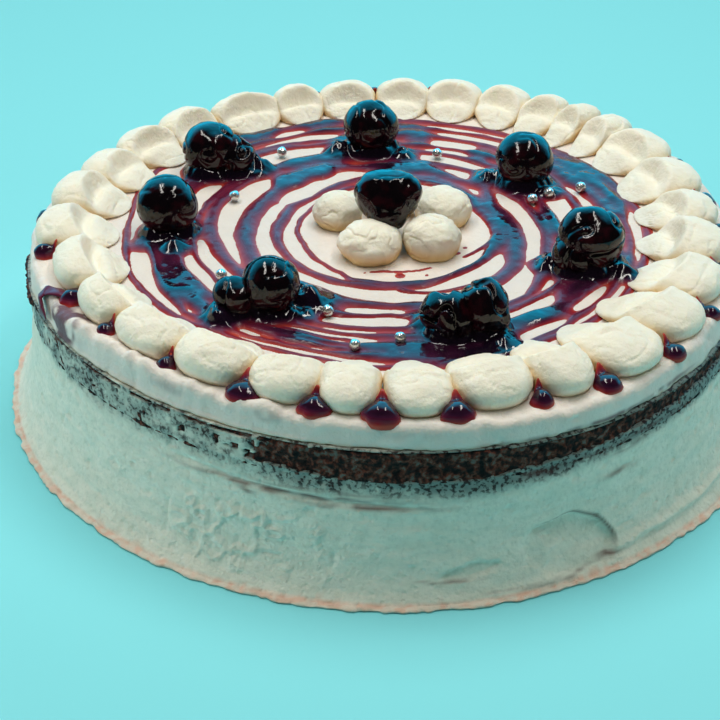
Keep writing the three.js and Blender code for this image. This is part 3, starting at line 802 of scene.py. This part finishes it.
def mark_depth(piece, deepest=1.9):
    """Stores how deep the sauce is at each vertex, from 0 at the cream to 1 where it is thick."""
    mesh = piece.data
    co = np.empty(len(mesh.vertices) * 3, np.float32)
    mesh.vertices.foreach_get("co", co)
    co = co.reshape(-1, 3) / MM
    level = co[:, 2] / (1 + (LEAN[0] * co[:, 0] + LEAN[1] * co[:, 1]) / CAKE_HEIGHT)
    layer = mesh.attributes.new("depth", "FLOAT", "POINT")
    layer.data.foreach_set("value", np.clip((level - CAKE_HEIGHT) / deepest, 0, 1).astype(np.float32))


# ---- piped cream
def unit_directions(rows, columns, lowest_degrees):
    """Directions over a ball from its lowest ring up to its top."""
    down = np.radians(np.linspace(lowest_degrees, 3, rows))[:, None]
    return polar(np.sin(down), full_turn(columns) + 180, np.cos(down))


def level_of(ball, lowest_degrees):
    """How high each place of a ball lies: 0 at its lowest ring and 1 at its top."""
    lowest = np.cos(np.radians(lowest_degrees))
    return (ball[..., 2] - lowest) / (1 - lowest)


def squarer(value):
    """Pushes a round section a little out towards a square."""
    return np.sign(value) * np.abs(value) ** 0.88


DOLLOP_LOWEST = 114.0
BLOB_LOWEST = 122.0
DOLLOP_SEED = 7
DROP_SEED = 8


def rim_dollop(index, crease, span, random):
    """A spooned dollop: a fat ball at the outer end, a scoop pressed behind it and a smeared tail."""
    angle = crease + span / 2
    foot = float(dollop_foot(angle))
    tail = float(sauce_edge(angle)) - random.uniform(2.5, 6)
    tall = DOLLOP_HEIGHT + (random.random() - 0.5) * 1.6
    lean, twist, lip_at = random.uniform(-1, 1, 3)
    taper = random.uniform(0.0, 0.25)
    ball = unit_directions(44, 66, DOLLOP_LOWEST)
    level = level_of(ball, DOLLOP_LOWEST)
    ring = np.hypot(ball[..., 0], ball[..., 1])
    across = ring * squarer(ball[..., 0] / np.maximum(ring, 1e-6))
    along = ring * squarer(ball[..., 1] / np.maximum(ring, 1e-6))
    radius = (foot + tail) / 2 - along * (foot - tail) / 2
    half = radius * np.tan(np.radians(span / 2)) * (1.04 - taper * smooth(along, 0.2, 1)) + 0.15
    sideways = across * half + 0.8 * lean * (1 - along ** 2) + 1.6 * twist * smooth(along, 0.3, 1)
    lip = -0.1 + 0.12 * lip_at + 0.3 * (across + 0.25 * twist) ** 2
    scoop = smooth(along, lip - 0.14, lip + 0.2)
    fullness = 1.03 - 0.44 * scoop - 0.42 * smooth(along, 0.2, 1)
    cup = 0.2 * np.exp(-((along - lip - 0.2) / 0.2) ** 2) * (1 - np.clip(across ** 2 * 1.3, 0, 1))
    ridge = 0.05 * np.exp(-((along - lip + 0.1) / 0.09) ** 2) * smooth(level, 0.5, 0.9)
    z = tall * level ** 0.92 * (fullness - cup + ridge)
    place = np.stack([sideways, radius, z], -1)
    lumps = rough(place, (0.5, 6.5, 70 + index), (0.22, 2.8, 71 + index), (0.08, 1.2, 72))
    lumps = lumps - 0.4 * lines_of(noise(place * [1, 1.5, 1], 9, 73 + index), 0.88, 1)
    swelled = lumps * smooth(level, 0, 0.3)
    radius = radius + swelled * -along * 0.8
    sideways = sideways + swelled * across * 0.8
    z = z + swelled * level
    form, faces = closed_form(beside(radius, sideways, angle, CAKE_HEIGHT + 0.05 + z))
    # Painted shade: the fold share is high low on the dollop's flanks and round its foot, where the cream is
    # painted darker and yellower as shade.
    flank = smooth(np.abs(across), 0.55, 0.98) * (1 - smooth(level, 0.25, 0.75))
    fold = np.clip(0.75 * flank + 0.3 * (1 - smooth(level, 0, 0.25)), 0, 1)
    fold = np.concatenate([fold.ravel(), [0, 0]])
    name = f"piped_dollop_{index + 1:02d}"
    node = f"dollop_{index + 1:02d}"
    return make_piece(name, form, faces, CREAM, "cream", [node], fold=fold)


def middle_dollop(index, row):
    """A rounder blob of the middle, with soft folds from the spoon."""
    angle, distance, size, tall = row
    ball = unit_directions(56, 84, BLOB_LOWEST)
    level = level_of(ball, BLOB_LOWEST)
    x0, y0 = polar(distance, angle, 0.0)[:2]
    place = ball * size + [x0, y0, 0]
    folds = rough(place, (0.8, 7, 90 + index), (0.45, 3, 91 + index), (0.16, 1.3, 92))
    crease = -0.5 * lines_of(rough(place, (1, 8, 92 + index), (0.3, 3, 93)), 0.84, 1)
    swelled = 1 + (folds + crease) / size
    points = np.stack([x0 + ball[..., 0] * size * swelled, y0 + ball[..., 1] * size * swelled,
                       CAKE_HEIGHT + 0.1 + tall * level ** 0.95 * (1 + 0.5 * (swelled - 1))], -1)
    form, faces = closed_form(points)
    # Painted shade: the fold share is high round the lower part of the blob, where the cream is painted
    # darker and yellower as shade.
    fold = np.concatenate([np.clip(0.85 * (1 - smooth(level, 0.1, 0.5)), 0, 1).ravel(), [0, 0]])
    name = f"middle_dollop_{index + 1}"
    node = f"centre_dollop_{index + 1}"
    return make_piece(name, form, faces, CREAM, "cream", [node], fold=fold)


# Width, length and height of the drop in each crease, in the order of the creases
DROPS = [(7, 8, 4.6), (9, 11, 4), (6, 7, 3.6), (6.5, 7, 4), (11.5, 11, 4.6), (9.5, 9, 4.8), (11, 11, 5.4),
         (10.5, 10, 5), (7.5, 8, 4.6), (10, 10, 4.4), (7, 8, 4), (6, 8, 4)]


def crease_drops(creases):
    """Glossy drops of sauce that ran out between the dollops, each with a thin end up its crease."""
    forms, depths = [], []
    random = np.random.default_rng(DROP_SEED)
    for i, crease in enumerate(creases):
        wide, long, tall = DROPS[i] if i < len(DROPS) else random.uniform((6, 7, 3.4), (10, 10, 4.6))
        ball = unit_directions(22, 32, 104)
        flat = np.hypot(ball[..., 0], ball[..., 1])
        back = smooth(-ball[..., 0], 0.3, 1.0)
        side = random.uniform(-0.3, 0.3)
        across = ball[..., 1] * wide * 0.54 * (1 - 0.7 * back) + side * wide * (1 - back) * 0.3
        along = ball[..., 0] * long * np.where(ball[..., 0] > 0, 0.44, 0.66)
        dome = np.where(ball[..., 2] > 0, np.clip(1 - flat ** 2, 0, 1) ** 0.62, ball[..., 2])
        z = dome * tall * (1 - 0.6 * back) + 6 * back ** 1.5
        radius = float(dollop_foot(crease)) - 1.2 + along
        place = np.stack([radius, across + crease, z], -1)
        wobble = rough(place, (0.7, 5, 95), (0.25, 1.8, 96))
        points = beside(radius + wobble, across * (1 + 0.3 * wobble), crease, CAKE_HEIGHT + z)
        depth = np.clip(1.3 * np.clip(dome, 0, 1) * (1 - back), 0, 0.85)
        forms.append(closed_form(points))
        depths.append(np.concatenate([depth.ravel(), [0, 1]]))
    for path in TRICKLES:
        forms.append(trickle(path))
        depths.append(np.full(len(forms[-1][0]), 0.5))
    points, faces = joined(forms)
    depth = np.concatenate(depths)
    return make_piece("crease_drops", points, faces, SAUCE, "sauce", ["cream_top"], depth=depth)


# Sauce that ran over the rim: points of angle, radius, height and width
TRICKLES = [[(-156, 121.5, 61.2, 5), (-158.5, 124.6, 61, 5), (-160, 127.6, 60.6, 4.4), (-160, 129.8, 58.6, 4),
             (-158.6, 130.6, 55.6, 5), (-156.4, 130.6, 54, 3)]]


def trickle(path):
    """A flattened run of sauce along a path that lies on the cream."""
    path = np.array(path, float)
    steps = np.linspace(0, len(path) - 1, 8 * len(path))
    angle, radius, z, width = (np.interp(steps, np.arange(len(path)), path[:, c]) for c in range(4))
    middle = polar(radius * (1 + swell(angle, TOP_LOBES) / SPONGE_RADIUS), angle, z)
    forward = np.gradient(middle, axis=0)
    forward = forward / np.linalg.norm(forward, axis=1)[:, None]
    outward = polar(smooth(radius, 125, 130), angle, 1 - smooth(radius, 125, 130))
    aside = np.cross(forward, outward)
    aside = aside / np.linalg.norm(aside, axis=1)[:, None]
    turn = np.linspace(0, 2 * np.pi, 20, endpoint=False)[None, :, None]
    ends = np.sqrt(np.clip(1 - (2 * steps / steps[-1] - 1) ** 8, 0.04, 1))
    half = (width / 2 * ends)[:, None, None]
    rings = middle[:, None] + half * (aside[:, None] * np.cos(turn) + 0.34 * outward[:, None] * np.sin(turn))
    rings = rings + (0.35 * noise(rings, 3, 97))[..., None] * outward[:, None]
    return closed_form(rings)


BALL_LOWEST = 177.0


def sugar_balls():
    forms = []
    for x, y in DRAGEES:
        middle = np.array([x, y, CAKE_HEIGHT + DRAGEE_RADIUS + 0.5])
        ball = unit_directions(24, 36, BALL_LOWEST) * DRAGEE_RADIUS
        crumple = 1 + 0.05 * noise(ball + middle, 1.3, 96)
        forms.append(closed_form(ball * crumple[..., None] + middle))
    points, faces = joined(forms)
    return make_piece("sugar_balls", points, faces, SILVER, "silver", ["cream_top"])


# ---- cherries
def fruit(x, y, z, sizes, seed, wrinkle, facets, floor=None):
    """A glazed cherry. Each facet is a direction and how far the skin is pulled in or out there."""
    ball = unit_directions(60, 84, BALL_LOWEST)
    place = ball * sizes
    creases = lines_of(noise(place, 7, seed + 1), 0.82, 1)
    folds = wrinkle * (0.07 * noise(place, 6, seed) - 0.09 * creases)
    shape = 1 + folds + 0.03 * noise(place, 9, seed + 2)
    for *axis, pull in facets:
        direction = np.array(axis) / np.linalg.norm(axis)
        shape = shape + pull * np.clip(ball @ direction - 0.78, 0, 1)
    points = ball * shape[..., None] * sizes + [x, y, z]
    if floor is not None:
        points[..., 2] = np.maximum(points[..., 2], floor)
    return closed_form(points)


# How wrinkled each cherry is
WRINKLES = [0.25, 1.0, 0.5, 0.4, 0.9, 1.7, 0.8]
CHERRY_FLOOR = CAKE_HEIGHT + 0.2


def ring_cherries():
    for i, (x, y, lumps) in enumerate(CHERRIES):
        forms = []
        for lump, (dx, dy, size_x, size_y, size_z) in enumerate(lumps):
            z = CAKE_HEIGHT + 1.3 + 0.88 * size_z
            seed, wrinkle = 100 + i * 5 + lump, WRINKLES[i] * (1 + lump)
            sizes = (size_x, size_y, size_z)
            forms.append(fruit(x + dx, y + dy, z, sizes, seed, wrinkle, [], CHERRY_FLOOR))
        points, faces = joined(forms)
        make_piece(f"glazed_cherry_{i + 1}", points, faces, CHERRY, "cherry", [f"cherry_{i + 1}"])


def centre_cherry():
    x, y, z, sizes = TOP_CHERRY
    facets = [(-0.9, -0.5, -0.3, -0.5), (0.9, -0.5, -0.3, -0.5), (-0.3, -0.8, 0.4, -0.5),
              (0.5, -0.7, 0.4, -0.5), (0, 0.2, 1, -0.5), (0.05, -0.75, -0.7, 0.9), (0.85, -0.1, 0.5, 0.3)]
    points, faces = fruit(x, y, z, sizes, 140, 0.35, facets)
    make_piece("glazed_cherry_centre", points, faces, CHERRY, "cherry", ["cherry_centre"])


# ---- camera, light and floor
CAMERA_PLACE = (0.0, -0.64692, 0.40020)
CAMERA_RIGHT = (0.99975, 0.00524, -0.02188)
CAMERA_UP = (0.01595, 0.52068, 0.85361)
CAMERA_FORWARD = (-0.01586, 0.85376, -0.52042)
CAMERA_LENS = 100.0
CAMERA_SENSOR = 36.0


def add_camera():
    data = bpy.data.cameras.new("camera")
    data.lens = CAMERA_LENS
    data.sensor_width = CAMERA_SENSOR
    camera = bpy.data.objects.new("camera", data)
    bpy.context.scene.collection.objects.link(camera)
    axes = Matrix((CAMERA_RIGHT, CAMERA_UP, [-c for c in CAMERA_FORWARD])).transposed()
    camera.matrix_world = Matrix.Translation(CAMERA_PLACE) @ axes.to_4x4()
    bpy.context.scene.camera = camera


# Name, place, aim, width, length, watts, colour, and whether it is mirrored
SOFTBOXES = [("strip_left", (-0.36, 0.0, 1.0), (0, 0, 0.06), 0.08, 0.8, 3.0, (1.0, 0.97, 0.9), True),
             ("strip_right", (0.36, 0.0, 1.0), (0, 0, 0.06), 0.08, 0.8, 3.0, (1.0, 0.97, 0.9), True),
             ("overhead", (0.0, 0.45, 1.3), (0, 0, 0.06), 0.8, 0.8, 8.3, (1.0, 0.965, 0.88), False),
             ("left_fill", (-2.1, -0.25, 0.3), (0, 0, 0.03), 0.3, 0.6, 11.5, (1.0, 0.96, 0.88), False),
             ("right_fill", (2.1, -0.6, 0.3), (0, 0, 0.03), 0.3, 0.6, 4.5, (1.0, 0.96, 0.88), False)]
FLOOR_SIZE = 6
FLOOR_DROP = 0.0002


def add_softbox(name, place, target, width, length, watts, colour, mirrored):
    """A rectangular soft light, whose length runs from front to back as far as its aim allows."""
    data = bpy.data.lights.new(name, "AREA")
    data.shape = "RECTANGLE"
    data.size, data.size_y = width, length
    data.energy = watts
    data.color = colour
    light = bpy.data.objects.new(name, data)
    away = (Vector(place) - Vector(target)).normalized()
    side = Vector((0, 1, 0)).cross(away).normalized()
    turn = Matrix((side, away.cross(side), away)).transposed().to_4x4()
    light.matrix_world = Matrix.Translation(place) @ turn
    light.visible_glossy = mirrored
    bpy.context.scene.collection.objects.link(light)


def add_floor():
    bpy.ops.mesh.primitive_plane_add(size=FLOOR_SIZE, location=(0, 0, -FLOOR_DROP))
    floor = bpy.context.object
    floor.name = "floor"
    paint = Paint("pale_floor")
    paint.set(Base_Color=(*srgb(140, 234, 246), 1), Roughness=0.8)
    floor.data.materials.append(paint.material)


# What is mirrored of the near and the far side of the room, and the light that the room gives
ROOM_NEAR = (0.012, 0.014, 0.016)
ROOM_FAR = (0.04, 1.7, 2.7)
ROOM_LIGHT = (0.07, 0.095, 0.075)


def add_world():
    """A room that gives soft even light, and whose far side is mirrored as a clear blue-green."""
    world = bpy.data.worlds.new("studio")
    bpy.context.scene.world = world
    world.use_nodes = True
    nodes, links = world.node_tree.nodes, world.node_tree.links
    background = nodes["Background"]
    direction = nodes.new("ShaderNodeTexCoord")
    split = nodes.new("ShaderNodeSeparateXYZ")
    links.new(direction.outputs["Generated"], split.inputs[0])
    far_side = nodes.new("ShaderNodeMapRange")
    far_side.inputs["From Min"].default_value = 0.1
    far_side.inputs["From Max"].default_value = 0.6
    links.new(split.outputs["Y"], far_side.inputs["Value"])
    mirrored = mixed(nodes, links, far_side.outputs["Result"], ROOM_NEAR, ROOM_FAR)
    ray = nodes.new("ShaderNodeLightPath").outputs["Is Glossy Ray"]
    links.new(mixed(nodes, links, ray, ROOM_LIGHT, mirrored), background.inputs["Color"])
    background.inputs["Strength"].default_value = 1.0


add_camera()
add_floor()
add_world()
bpy.context.scene.view_settings.view_transform = "Standard"
for softbox in SOFTBOXES:
    add_softbox(*softbox)

frosting()
sponge()
cream_slab()
sauce()
creases = FIRST_CREASE + np.concatenate([[0], np.cumsum(DOLLOP_SPANS)[:-1]])
dollop_random = np.random.default_rng(DOLLOP_SEED)
for dollop, (crease, span) in enumerate(zip(creases, DOLLOP_SPANS)):
    rim_dollop(dollop, crease, span, dollop_random)
for dollop, row in enumerate(MIDDLE_DOLLOPS):
    middle_dollop(dollop, row)
crease_drops(creases)
sugar_balls()
ring_cherries()
centre_cherry()
